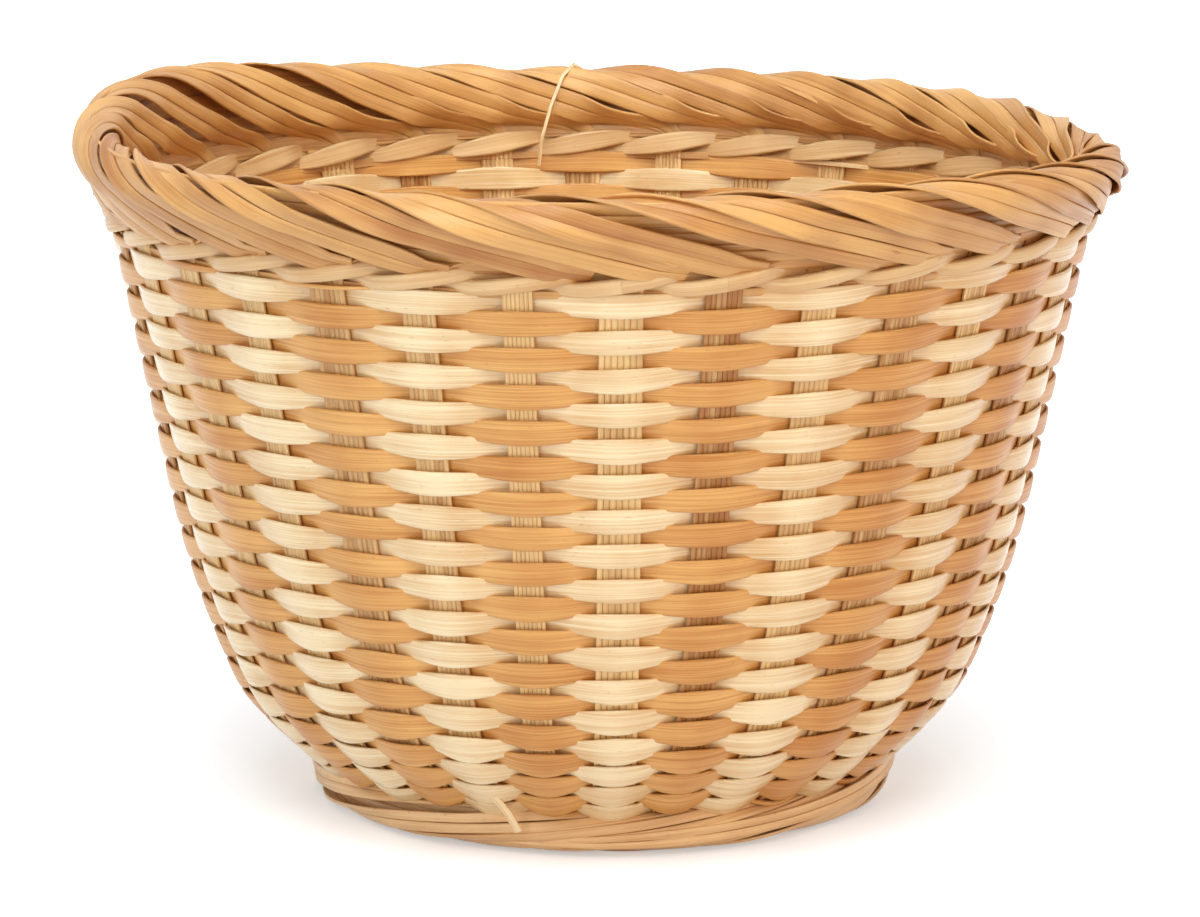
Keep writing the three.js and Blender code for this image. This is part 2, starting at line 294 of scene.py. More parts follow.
def weaver_guides(first_stake, outside_odd, bend_highlight_and_tone):
    """One colour's climb, two rows in a round, swinging out over every second stake."""
    steps = (WEAVER_ROWS + 1) * STAKES // 2
    place = np.linspace(0, steps, steps * STATIONS_PER_STAKE + 1)
    row = 2 * place / STAKES - 1
    low = ROW_PITCH * np.maximum(row, 0)
    high = ROW_PITCH * np.minimum(row + 1, WEAVER_ROWS)
    share = (high - low) / ROW_PITCH
    first_outside = (first_stake % 2) == outside_odd
    swing = np.cos(math.pi * place) * (1 if first_outside else -1)
    stake_marks = np.arange(steps + 1)
    spread = np.interp(place, stake_marks, rng.normal(1, LENS_SPREAD, steps + 1))
    drift = np.interp(place, stake_marks, rng.normal(0, ROW_DRIFT, steps + 1))
    middle = (low + high) / 2 + drift
    lens = np.interp(middle, LENS_PLACES, LENS_SWELLS) * np.abs(swing) ** LENS_POINT * spread * share
    width = np.interp(middle, COVER_PLACES, COVERS) * (high - low) + lens
    section = WALL.at(middle)
    outward = -inside_of(WALL.run(middle))
    reach = section[:, 0] * STAKE_STEP
    arch = np.minimum(WEAVER_ARCH / (1 - STAKE_BEARING * STAKE_WIDTH / reach), WEAVER_ARCH_LIMIT)
    angle = stake_angle(first_stake + place)
    centre = turned_to(angle, section + outward * (arch * swing)[:, None])
    face = turned_to(angle, outward)
    usable = np.where(share > ROW_LEAST_SHARE)[0]
    inside = np.arange(1 if first_outside else 0, steps, 2) * STATIONS_PER_STAKE
    ends = strip_ends(usable[0], usable[-1], inside)
    guides = []
    for strip, (begin, end) in enumerate(zip(ends[:-1], ends[1:])):
        part = slice(begin, end + 1)
        tone = strip_tone(strip, angle[part], swing[part], bend_highlight_and_tone)
        guides.append(strand(centre[part], face[part], width[part], WEAVER_THICKNESS, tone))
    return guides


def floor_height(radius):
    """The floor is raised, and its edge dips to the base of the wall."""
    return np.interp(radius, [FLOOR_EDGE_RADIUS, WALL_START[0]], [FLOOR_Z, WALL_START[1]])


def half_spoke(stake, layer, spread):
    """From where a spoke's bundle fans out on the floor, up the wall to the border's root."""
    settle_length = 8 * MM
    floor_stations = 10
    wall_stations = 34
    angle = stake_angle(stake)
    radius = np.linspace(FAN_RADIUS, WALL_START[0], floor_stations)[:-1]
    settle = np.clip((radius - FAN_RADIUS) / settle_length, 0, 1)
    floor = np.c_[radius, floor_height(radius) + layer * (1 - settle)]
    rising = WALL.at(np.linspace(0, WALL.length - BORDER_ROOT, wall_stations))
    section = np.vstack([floor, rising])
    face = inside_of(unit(np.gradient(section, axis=0)))
    widths = [FLOOR_SPOKE_WIDTH, STAKE_WIDTH * spread]
    width = np.interp(section[:, 0], [FAN_RADIUS, WALL_START[0]], widths)
    return turned_to(angle, section), turned_to(angle, face), width


def spoke_guides():
    """Spokes cross in the floor in bundles, one above the other, and rise as stakes on both sides."""
    guides = []
    tones = np.random.default_rng(STAKE_TONE_SEED).uniform(0, 1, SPOKES)
    spreads = np.random.default_rng(STAKE_WIDTH_SEED).uniform(*STAKE_WIDTH_SPREAD, SPOKES)
    bridge_stations = 7
    part = np.linspace(0, 1, bridge_stations)[1:-1, None]
    for bundle in range(BUNDLES):
        layer = (bundle - (BUNDLES - 1) / 2) * BUNDLE_LAYER
        for number in range(SPOKES_PER_BUNDLE):
            near = bundle * SPOKES_PER_BUNDLE + number
            far = SPOKES + (bundle + 1) * SPOKES_PER_BUNDLE - 1 - number
            far_place, far_face, far_width = half_spoke(far, layer, spreads[near])
            near_place, near_face, near_width = half_spoke(near, layer, spreads[near])
            bridge = far_place[0] * (1 - part) + near_place[0] * part
            centre = np.vstack([far_place[::-1], bridge, near_place])
            face = np.vstack([far_face[::-1], repeated(UP, len(bridge)), near_face])
            width = np.r_[far_width[::-1], np.full(len(bridge), FLOOR_SPOKE_WIDTH), near_width]
            guides.append(strand(centre, face, width, STAKE_THICKNESS, tones[near]))
    return guides


def floor_weaver_guides():
    """Rows that bind the spokes on the floor, inside the wall's first row."""
    guides = []
    rows = 6
    pitch = 3 * MM
    margin = 0.8 * MM
    arch = 1.05 * MM
    least_width = 2.6 * MM
    lens_swell = 0.8 * MM
    thickness = 0.5 * MM
    for start in (0, STAKES // 2):
        place = np.linspace(0, rows / 2 * STAKES, rows // 2 * STAKES * STATIONS_PER_STAKE + 1)
        radius = WALL_START[0] - margin - rows * pitch + pitch * 2 * place / STAKES
        swing = np.cos(math.pi * (place + start + (1 if start else 0)))
        centre = turned_to(stake_angle(start + place), np.c_[radius, floor_height(radius) + arch * swing])
        width = least_width + lens_swell * np.abs(swing)
        guides.append(strand(centre, repeated(UP, len(place)), width, thickness))
    return guides


def twine_guides():
    """Two strands that cross between the stakes and pass in front of every second one, rising as they go."""
    guides = []
    per_stake = 12
    climb = 1.35 * MM
    depth = 1.75 * MM
    stand_off = 0.1 * MM
    corner = 0.97
    flatness = 1.2
    crossing_width = 3.0 * MM
    stake_swell = 0.4 * MM
    inside_swell = 1.3 * MM
    thickness = 1.2 * MM
    middle = WALL.length - TWINE_BAND / 2
    for odd, tone in ((0, 0.7), (1, 0.9)):
        place = np.linspace(0, STAKES, STAKES * per_stake + 1)
        turn = math.pi * place
        zigzag = np.arcsin(corner * np.sin(turn)) / math.asin(corner)
        front = np.tanh(flatness * np.cos(turn)) / math.tanh(flatness)
        section = WALL.at(middle + climb * zigzag)
        outward = -inside_of(WALL.run(np.full(len(place), middle)))
        angle = stake_angle(place + odd)
        centre = turned_to(angle, section + outward * (stand_off + depth * front)[:, None])
        width = crossing_width + stake_swell * np.abs(np.cos(turn))
        width = width + inside_swell * np.maximum(-np.cos(turn), 0)
        guides.append(strand(centre, turned_to(angle, outward), width, thickness, tone))
    return guides


# Border

def leaned(section):
    """From the border's leaning axes to radius and height."""
    cosine, sine = math.cos(BORDER_LEAN), math.sin(BORDER_LEAN)
    return section @ np.array([[cosine, -sine], [sine, cosine]])


def border_rise(angle, height):
    """The hand-rolled border stands highest at the back on the left, and droops on the right."""
    rise = RISE * swelling(angle, RISE_FACING, RISE_SPREAD)
    droop = DROOP * swelling(angle, DROOP_FACING, DROOP_SPREAD)
    return (rise - droop) * np.maximum(height, 0) / BORDER_HEIGHT


def border_guides():
    """Each stake's end as a flat band: up, aside, over the crest, and down over its neighbour's edge."""
    guides = []
    stations = 60
    slope_spread = (0.94, 1.06)
    width_spread = (1.0, 1.16)
    lifts_in_mm = (-0.15, 0.35)
    tilts_in_degrees = (5, 11)
    turn_up = 3 * MM
    before_root = 1.5 * MM
    lift_start = 4 * MM
    lift_length = 8 * MM
    even_width = WALL_TOP[0] * STAKE_STEP * math.sin(BORDER_SLOPE)
    length = np.linspace(0, BORDER.length, stations)
    climb = np.maximum(length - BORDER_ROOT + before_root, 0)
    eased = np.where(climb < turn_up, climb ** 2 / (2 * turn_up), climb - turn_up / 2)
    rolled = np.clip((length - BORDER_ROOT - lift_start) / lift_length, 0, 1)
    taper = np.interp(length / BORDER.length, [0, 0.9, 1], [1, 1, 0.75])
    section = BORDER.at(length)
    normal = inside_of(BORDER.run(length))
    for stake in range(STAKES):
        slope = BORDER_SLOPE * rng.uniform(*slope_spread)
        lift = rng.uniform(*lifts_in_mm) * MM
        band = even_width * rng.uniform(*width_spread)
        tilt = math.radians(rng.uniform(*tilts_in_degrees))
        angle = stake_angle(stake) + eased / math.tan(slope) / WALL_TOP[0]
        centre = turned_to(angle, leaned(section + normal * (lift * rolled)[:, None]) + WALL_TOP)
        centre[:, 2] += border_rise(angle, section[:, 1])
        face = turned_to(angle, leaned(normal))
        width = (STAKE_WIDTH + (band - STAKE_WIDTH) * np.clip(climb / turn_up, 0, 1)) * taper
        guides.append(strand(centre, face, width, BORDER_THICKNESS, rng.uniform(), tilt))
    return guides


def ring_guide(height, out, width, thickness):
    """A splint that lies round the basket at one height in the border's leaning axes."""
    stations = 200
    angle = np.linspace(0, 2 * math.pi, stations)
    section = repeated((out, height), len(angle))
    centre = turned_to(angle, leaned(section) + WALL_TOP)
    centre[:, 2] += border_rise(angle, section[:, 1])
    face = turned_to(angle, leaned(repeated(OUT, len(angle))))
    stretch = 1 + border_rise(angle, np.full(len(angle), BORDER_HEIGHT)) / BORDER_HEIGHT
    return strand(centre, face, width * stretch, thickness, rng.uniform())


def border_core_guides():
    """Splints inside the roll, one above the other, and two thin ones that bind the twined row."""
    guides = []
    outs = (0.3 * MM, 0.9 * MM)
    for number, height in enumerate(CORE_HEIGHTS):
        guides.append(ring_guide(height, outs[number % 2], width=2.6 * MM, thickness=0.8 * MM))
    for height in BINDER_HEIGHTS:
        guides.append(ring_guide(height, out=0.1 * MM, width=1.6 * MM, thickness=0.3 * MM))
    return guides


# Foot

def foot_guides():
    """Long flat bands wound round the trough at a low slope."""
    guides = []
    stations = 90
    slope_spread = (0.95, 1.05)
    width_spread = (0.95, 1.08)
    lifts_in_mm = (-0.1, 0.25)
    tilts_in_degrees = (-8, -3)
    flat_height = 3 * MM
    band_step = 2 * math.pi / FOOT_BANDS
    length = np.linspace(0, FOOT.length, stations)
    section = FOOT.at(length)
    normal = -inside_of(FOOT.run(length))
    even_width = FOOT_OUTER * band_step * math.sin(FOOT_SLOPE)
    for number in range(FOOT_BANDS):
        slope = FOOT_SLOPE * rng.uniform(*slope_spread)
        lift = rng.uniform(*lifts_in_mm) * MM * (section[:, 1] > flat_height)
        tilt = math.radians(rng.uniform(*tilts_in_degrees))
        width = even_width * rng.uniform(*width_spread)
        angle = number * band_step + length / math.tan(slope) / FOOT_OUTER
        centre = turned_to(angle, section + normal * lift[:, None])
        guides.append(strand(centre, turned_to(angle, normal), width, FOOT_THICKNESS, rng.uniform(), tilt))
    return guides


def foot_core_guides():
    """Splints that lie round inside the foot, one above the other."""
    guides = []
    splints = 4
    stations = 160
    lowest = 1.8 * MM
    pitch = 1.7 * MM
    outs = (3.0 * MM, 3.6 * MM)
    width = 2.3 * MM
    thickness = 0.9 * MM
    angle = np.linspace(0, 2 * math.pi, stations)
    face = turned_to(angle, repeated(OUT, len(angle)))
    for number in range(splints):
        radius = FOOT_INNER + outs[number % 2]
        centre = turned_to(angle, repeated((radius, lowest + pitch * number), len(angle)))
        guides.append(strand(centre, face, width, thickness, rng.uniform()))
    return guides


def foot_wrap_guides():
    """A strip that leaves the foot at the front and stands off it on the right."""
    stations = 60
    start, stop = np.radians(-112), np.radians(2)
    tucked = 0.8 * MM
    low = 2.6 * MM
    climb = 6.0 * MM
    thickness = 0.6 * MM
    angle = np.linspace(start, stop, stations)
    part = np.linspace(0, 1, stations)
    coming_out = 1.2 * MM * np.clip(part / 0.2, 0, 1)
    standing_off = 1.8 * MM * part ** 2
    radius = FOOT_OUTER - tucked + coming_out + standing_off
    height = low + climb * part ** 1.6
    width = 3.6 * MM * np.interp(part, [0, 0.3, 0.9, 1], [0.3, 1, 1, 0.6])
    face = turned_to(angle, repeated(OUT, len(angle)))
    return [strand(turned_to(angle, np.c_[radius, height]), face, width, thickness, tone=0.45)]


# Single splints

def line_through(places, stations):
    part = np.linspace(0, len(places) - 1, stations)
    return np.stack([np.interp(part, np.arange(len(places)), column) for column in places.T], axis=1)


def loose_splint_guides():
    """A thin splint that has sprung out over the back of the border and hangs down inside."""
    places = np.array([(-2, 108, 138.5), (-6, 104.5, 141.5), (-8.5, 100, 139.5), (-11.2, 96.5, 133),
                       (-13.2, 94.5, 126), (-14, 94.5, 119.5)]) * MM
    centre = line_through(places, stations=26)
    face = unit(repeated((0.15, -1, 0.2), len(centre)))
    return [strand(centre, face, width=0.8 * MM, thickness=0.5 * MM, tone=0.0)]


def foot_end_guides():
    """The cut end of a pale weaver that stands out over the foot."""
    places = np.array([(-21.5, -63.5, 13.5), (-18.5, -62.5, 9.5), (-16.5, -61.5, 5.5)]) * MM
    centre = line_through(places, stations=9)
    face = unit(repeated((-0.25, -1, 0.1), len(centre)))
    return [strand(centre, face, width=1.7 * MM, thickness=0.6 * MM, tone=0.1)]


# Node helpers

def place_node(tree, kind, sockets=None, **settings):
    made = tree.nodes.new(kind)
    for name, value in settings.items():
        setattr(made, name, value)
    for key, value in (sockets or {}).items():
        if isinstance(value, bpy.types.NodeSocket):
            tree.links.new(value, made.inputs[key])
        else:
            made.inputs[key].default_value = value
    return made


def maths(tree, operation, *values):
    return place_node(tree, "ShaderNodeMath", dict(enumerate(values)), operation=operation).outputs[0]


def scaled(tree, vector, amount):
    return place_node(tree, "ShaderNodeVectorMath", {0: vector, 3: amount}, operation="SCALE").outputs[0]


def summed(tree, first, second):
    return place_node(tree, "ShaderNodeVectorMath", {0: first, 1: second}, operation="ADD").outputs[0]


def read(tree, name, kind="FLOAT"):
    made = place_node(tree, "GeometryNodeInputNamedAttribute", {"Name": name}, data_type=kind)
    return made.outputs["Attribute"]


def keep(tree, geometry, name, value, kind="FLOAT"):
    sockets = {"Geometry": geometry, "Name": name, "Value": value}
    made = place_node(tree, "GeometryNodeStoreNamedAttribute", sockets, data_type=kind, domain="POINT")
    return made.outputs["Geometry"]


def random_share(tree, identity, seed, low, high):
    sockets = {2: low, 3: high, 7: identity, 8: seed}
    return place_node(tree, "FunctionNodeRandomValue", sockets, data_type="FLOAT").outputs[1]


def add_inputs(tree, inputs):
    for name, kind, value in inputs:
        socket = tree.interface.new_socket(name, in_out="INPUT", socket_type=kind)
        if value is not None:
            socket.default_value = value


# The tree that lays fine splints along the guides

SPLINT_INPUTS = (
    ("Guides", "NodeSocketGeometry", None),
    ("Splints", "NodeSocketInt", 1),
    ("Crown", "NodeSocketFloat", 0.5),
    ("Edge Softness", "NodeSocketFloat", 0.35),
    ("Section Points", "NodeSocketInt", 12),
    ("Width Spread", "NodeSocketFloat", 0.1),
    ("Lift Spread", "NodeSocketFloat", 0.0),
    ("Wander", "NodeSocketFloat", 0.0),
    ("Wander Scale", "NodeSocketFloat", 60.0),
    ("Strand Shade", "NodeSocketFloat", 0.5),
    ("Seed", "NodeSocketInt", 1),
    ("Bamboo", "NodeSocketMaterial", None),
)
MOST_SPLINTS = 64.0
WANDER_STEP = 3.7
FIBRE_STEP = 0.37


def splint_tree():
    tree = bpy.data.node_groups.new("lay_splints", "GeometryNodeTree")
    add_inputs(tree, SPLINT_INPUTS)
    tree.interface.new_socket("Splints", in_out="OUTPUT", socket_type="NodeSocketGeometry")
    given = tree.nodes.new("NodeGroupInput").outputs

    # Copies of each guide, side by side
    lines = place_node(tree, "GeometryNodeMeshToCurve", {"Mesh": given["Guides"]}).outputs[0]
    sockets = {"Geometry": lines, "Amount": given["Splints"]}
    copies = place_node(tree, "GeometryNodeDuplicateElements", sockets, domain="SPLINE")
    number = copies.outputs["Duplicate Index"]
    identity = maths(tree, "ADD", maths(tree, "MULTIPLY", read(tree, "strand"), MOST_SPLINTS), number)
    share = maths(tree, "DIVIDE", maths(tree, "ADD", number, 0.5), given["Splints"])
    share = maths(tree, "SUBTRACT", share, 0.5)

    def differing(step, low=-1.0, high=1.0):
        return random_share(tree, identity, maths(tree, "ADD", given["Seed"], float(step)), low, high)

    sockets = {0: given["Strand Shade"], 2: differing(0, low=0.0), 3: read(tree, "tone")}
    shade = place_node(tree, "ShaderNodeMix", sockets).outputs[0]
    spread = maths(tree, "MULTIPLY_ADD", differing(1), given["Width Spread"], 1.0)
    lift = maths(tree, "MULTIPLY", differing(2), given["Lift Spread"])
    width = read(tree, "width")
    across = read(tree, "across", "FLOAT_VECTOR")
    face = read(tree, "face", "FLOAT_VECTOR")
    spot = place_node(tree, "GeometryNodeInputPosition").outputs[0]
    own_noise = maths(tree, "MULTIPLY", identity, WANDER_STEP)
    sockets = {"Vector": spot, "Scale": given["Wander Scale"], "W": own_noise}
    noise = place_node(tree, "ShaderNodeTexNoise", sockets, noise_dimensions="4D").outputs[0]
    wander = maths(tree, "MULTIPLY", given["Wander"], 2.0)
    wander = maths(tree, "MULTIPLY", maths(tree, "SUBTRACT", noise, 0.5), wander)
    beside = maths(tree, "ADD", maths(tree, "MULTIPLY", width, share), wander)
    centre = summed(tree, spot, summed(tree, scaled(tree, across, beside), scaled(tree, face, lift)))
    half = maths(tree, "MULTIPLY", maths(tree, "DIVIDE", width, given["Splints"]), 0.5)
    half = maths(tree, "MULTIPLY", half, spread)
    curve = keep(tree, copies.outputs["Geometry"], "centre", centre, "FLOAT_VECTOR")
    curve = keep(tree, curve, "half_width", half)
    curve = keep(tree, curve, "shade", shade)
    curve = keep(tree, curve, "splint", identity)

    # Section: a flat strip with softened edges
    sockets = {"Resolution": given["Section Points"], "Radius": 1.0}
    ring = place_node(tree, "GeometryNodeCurvePrimitiveCircle", sockets, mode="RADIUS")
    corner = place_node(tree, "ShaderNodeSeparateXYZ", {0: spot})

    def squared(value):
        grown = maths(tree, "POWER", maths(tree, "ABSOLUTE", value), given["Edge Softness"])
        return maths(tree, "MULTIPLY", grown, maths(tree, "SIGN", value))

    ring = keep(tree, ring.outputs["Curve"], "side", squared(corner.outputs[0]))
    ring = keep(tree, ring, "level", squared(corner.outputs[1]))
    sockets = {"Curve": curve, "Profile Curve": ring, "Fill Caps": True}
    mesh = place_node(tree, "GeometryNodeCurveToMesh", sockets).outputs[0]

    # Each point of the section goes across and out from the splint's middle line
    side = read(tree, "side")
    hump = maths(tree, "SUBTRACT", 0.5, maths(tree, "MULTIPLY", side, side))
    hump = maths(tree, "MULTIPLY", hump, given["Crown"])
    level = maths(tree, "ADD", read(tree, "level"), hump)
    out = maths(tree, "MULTIPLY", level, maths(tree, "MULTIPLY", read(tree, "thickness"), 0.5))
    wide = maths(tree, "MULTIPLY", side, read(tree, "half_width"))
    moved = summed(tree, scaled(tree, across, wide), scaled(tree, face, out))
    moved = summed(tree, read(tree, "centre", "FLOAT_VECTOR"), moved)
    own_fibre = maths(tree, "MULTIPLY", read(tree, "splint"), FIBRE_STEP)
    sockets = {0: read(tree, "along"), 1: wide, 2: own_fibre}
    fibre = place_node(tree, "ShaderNodeCombineXYZ", sockets).outputs[0]
    mesh = keep(tree, mesh, "fibre", fibre, "FLOAT_VECTOR")
    mesh = place_node(tree, "GeometryNodeSetPosition", {"Geometry": mesh, "Position": moved}).outputs[0]
    mesh = place_node(tree, "GeometryNodeSetShadeSmooth", {"Geometry": mesh, "Shade Smooth": True}).outputs[0]
    mesh = place_node(tree, "GeometryNodeRealizeInstances", {"Geometry": mesh}).outputs[0]
    sockets = {"Geometry": mesh, "Material": given["Bamboo"]}
    mesh = place_node(tree, "GeometryNodeSetMaterial", sockets).outputs[0]
    place_node(tree, "NodeGroupOutput", {0: mesh})
    return tree


LAY_SPLINTS = splint_tree()
WORKING_ATTRIBUTES = ("across", "face", "width", "thickness", "along", "tone", "strand", "centre",
                      "half_width", "splint", "level")


def guide_mesh(name, guides):
    mesh = bpy.data.meshes.new(name)
    counts = [len(guide["centre"]) for guide in guides]
    starts = np.r_[0, np.cumsum(counts)[:-1]]
    edges = np.vstack([np.c_[np.arange(n - 1), np.arange(1, n)] + s for n, s in zip(counts, starts)])
    mesh.from_pydata(np.vstack([guide["centre"] for guide in guides]).tolist(), edges.tolist(), [])
    for key in ("across", "face"):
        values = np.vstack([guide[key] for guide in guides]).astype(np.float32)
        mesh.attributes.new(key, "FLOAT_VECTOR", "POINT").data.foreach_set("vector", values.ravel())
    for key in ("width", "thickness", "along", "tone"):
        values = np.concatenate([guide[key] for guide in guides]).astype(np.float32)
        mesh.attributes.new(key, "FLOAT", "POINT").data.foreach_set("value", values)
    numbers = np.repeat(np.arange(len(guides)), counts).astype(np.float32)
    mesh.attributes.new("strand", "FLOAT", "POINT").data.foreach_set("value", numbers)
    return mesh


def signed_volume(mesh):
    mesh.calc_loop_triangles()
    corners = np.zeros(len(mesh.loop_triangles) * 3, np.int32)
    mesh.loop_triangles.foreach_get("vertices", corners)
    places = np.zeros(len(mesh.vertices) * 3, np.float32)
    mesh.vertices.foreach_get("co", places)
    a, b, c = places.reshape(-1, 3)[corners.reshape(-1, 3)].transpose(1, 0, 2).astype(float)
    return np.einsum("ij,ij->i", a, np.cross(b, c)).sum() / 6


def lay(name, guides, bamboo_kind, slot, replaced, **values):
    """Lays splints along the guides and keeps the result as a plain mesh that rides on the basket."""
    source = bpy.data.objects.new(name + "_guides", guide_mesh(name + "_guides", guides))
    bpy.context.scene.collection.objects.link(source)
    modifier = source.modifiers.new("splints", "NODES")
    modifier.node_group = LAY_SPLINTS
    sockets = [item for item in LAY_SPLINTS.interface.items_tree if item.in_out == "INPUT"]
    identifiers = {socket.name: socket.identifier for socket in sockets}
    modifier[identifiers["Bamboo"]] = bamboo_kind
    for key, value in values.items():
        modifier[identifiers[key.replace("_", " ").title()]] = value
    depsgraph = bpy.context.evaluated_depsgraph_get()
    laid = source.evaluated_get(depsgraph)
    mesh = bpy.data.meshes.new_from_object(laid, preserve_all_data_layers=True, depsgraph=depsgraph)
    bpy.data.objects.remove(source)
    mesh.name = name
    if signed_volume(mesh) < 0:
        mesh.flip_normals()
    for attribute in WORKING_ATTRIBUTES:
        if attribute in mesh.attributes:
            mesh.attributes.remove(mesh.attributes[attribute])
    piece = bpy.data.objects.new(name, mesh)
    bpy.context.scene.collection.objects.link(piece)
    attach(piece, "root")
    if replaced:
        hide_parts(*replaced)


# Bamboo finishes

BAMBOO_INPUTS = (
    ("Fibre", "NodeSocketVector", None),
    ("Shade", "NodeSocketFloat", 0.5),
    ("Side", "NodeSocketFloat", 0.0),
    ("Pale", "NodeSocketColor", (0.8, 0.6, 0.35, 1)),
    ("Deep", "NodeSocketColor", (0.6, 0.35, 0.14, 1)),
    # The stain colour takes the specks, and also the painted shade at each strip's edges.
    ("Stain And Shade", "NodeSocketColor", (0.3, 0.14, 0.04, 1)),
    ("Shade Range", "NodeSocketFloat", 0.5),
    ("Fibre Contrast", "NodeSocketFloat", 0.3),
    ("Edge Shade", "NodeSocketFloat", 0.35),
    ("Gloss", "NodeSocketFloat", 0.4),
)
MIDDLE_TONE = 0.4
PATCH_CONTRAST = 1.3
STREAK_CONTRAST = 1.0
FINE_CONTRAST = 3.0
EDGE_SHARPNESS = 8.0
SPECK_FROM = 0.18
SPECK_TO = 0.3
SPECK_STAIN = 0.3
ROUGHNESS_SPREAD = 0.35
FINE_RELIEF = 0.7
STREAK_RELIEF = 0.5
RELIEF_DEPTH = 0.08 * MM
RELIEF_STRENGTH = 0.8


def bamboo_group():
    """Split bamboo: long fibres, pale and deep streaks, painted shade at the edges and small specks."""
    tree = bpy.data.node_groups.new("split_bamboo", "ShaderNodeTree")
    add_inputs(tree, BAMBOO_INPUTS)
    tree.interface.new_socket("Color", in_out="OUTPUT", socket_type="NodeSocketColor")
    tree.interface.new_socket("Roughness", in_out="OUTPUT", socket_type="NodeSocketFloat")
    tree.interface.new_socket("Height", in_out="OUTPUT", socket_type="NodeSocketFloat")
    given = tree.nodes.new("NodeGroupInput").outputs

    def noise(along, across, detail):
        """Noise about zero, with so many waves in a metre along and across the splint."""
        sockets = {0: given["Fibre"], 1: (along, across, 1.0)}
        stretched = place_node(tree, "ShaderNodeVectorMath", sockets, operation="MULTIPLY").outputs[0]
        sockets = {"Vector": stretched, "Scale": 1.0, "Detail": detail}
        value = place_node(tree, "ShaderNodeTexNoise", sockets, noise_dimensions="3D").outputs[0]
        return maths(tree, "SUBTRACT", value, 0.5)

    fine = noise(along=40.0, across=3200.0, detail=3.0)
    streaks = noise(along=14.0, across=600.0, detail=2.0)
    patches = noise(along=55.0, across=60.0, detail=2.0)
    specks = noise(along=500.0, across=2200.0, detail=1.0)
    shade = maths(tree, "SUBTRACT", given["Shade"], 0.5)
    tone = maths(tree, "MULTIPLY_ADD", shade, given["Shade Range"], MIDDLE_TONE)
    tone = maths(tree, "MULTIPLY_ADD", patches, PATCH_CONTRAST, tone)
    tone = maths(tree, "MULTIPLY_ADD", streaks, STREAK_CONTRAST, tone)
    contrast = maths(tree, "MULTIPLY", given["Fibre Contrast"], FINE_CONTRAST)
    tone = maths(tree, "MULTIPLY_ADD", fine, contrast, tone)
    tone = place_node(tree, "ShaderNodeClamp", {0: tone}).outputs[0]
    sockets = {0: tone, 6: given["Pale"], 7: given["Deep"]}
    colour = place_node(tree, "ShaderNodeMix", sockets, data_type="RGBA").outputs[2]
    # Painted shade: each strip darkens towards its edges, where the gaps between strips lie in shade.
    edge_shade = maths(tree, "POWER", maths(tree, "ABSOLUTE", given["Side"]), EDGE_SHARPNESS)
    edge_shade = maths(tree, "MULTIPLY", edge_shade, given["Edge Shade"])
    sockets = {0: specks, 1: SPECK_FROM, 2: SPECK_TO, 3: 0.0, 4: SPECK_STAIN}
    speck = place_node(tree, "ShaderNodeMapRange", sockets).outputs[0]
    sockets = {0: maths(tree, "ADD", edge_shade, speck), 6: colour, 7: given["Stain And Shade"]}
    specked_and_shaded = place_node(tree, "ShaderNodeMix", sockets, data_type="RGBA", clamp_factor=True).outputs[2]
    roughness = maths(tree, "MULTIPLY_ADD", fine, ROUGHNESS_SPREAD, given["Gloss"])
    fine_height = maths(tree, "MULTIPLY", fine, FINE_RELIEF)
    height = maths(tree, "ADD", fine_height, maths(tree, "MULTIPLY", streaks, STREAK_RELIEF))
    place_node(tree, "NodeGroupOutput", {0: specked_and_shaded, 1: roughness, 2: height})
    return tree


SPLIT_BAMBOO = bamboo_group()


def linear(red, green, blue):
    """A colour as seen, in 0 to 255, as Blender mixes it."""
    return tuple(((c / 255 + 0.055) / 1.055) ** 2.4 for c in (red, green, blue)) + (1.0,)


def bamboo(name, pale, deep, shade_range, contrast, edge_shade, gloss, shine=0.5):
    """One kind of bamboo, between a pale and a deep colour."""
    material = bpy.data.materials.new(name)
    material.use_nodes = True
    tree = material.node_tree
    surface = tree.nodes["Principled BSDF"]
    surface.inputs["Specular IOR Level"].default_value = shine
    made = place_node(tree, "ShaderNodeGroup", node_tree=SPLIT_BAMBOO)
    for socket, output in (("Fibre", "Vector"), ("Shade", "Fac"), ("Side", "Fac")):
        value = place_node(tree, "ShaderNodeAttribute", attribute_name=socket.lower())
        tree.links.new(value.outputs[output], made.inputs[socket])
    for socket, value in (("Pale", linear(*pale)), ("Deep", linear(*deep)), ("Shade Range", shade_range),
                          ("Fibre Contrast", contrast), ("Edge Shade", edge_shade), ("Gloss", gloss)):
        made.inputs[socket].default_value = value
    sockets = {"Height": made.outputs["Height"], "Distance": RELIEF_DEPTH, "Strength": RELIEF_STRENGTH}
    bump = place_node(tree, "ShaderNodeBump", sockets)
    tree.links.new(made.outputs["Color"], surface.inputs["Base Color"])
    tree.links.new(made.outputs["Roughness"], surface.inputs["Roughness"])
    tree.links.new(bump.outputs[0], surface.inputs["Normal"])
    return material


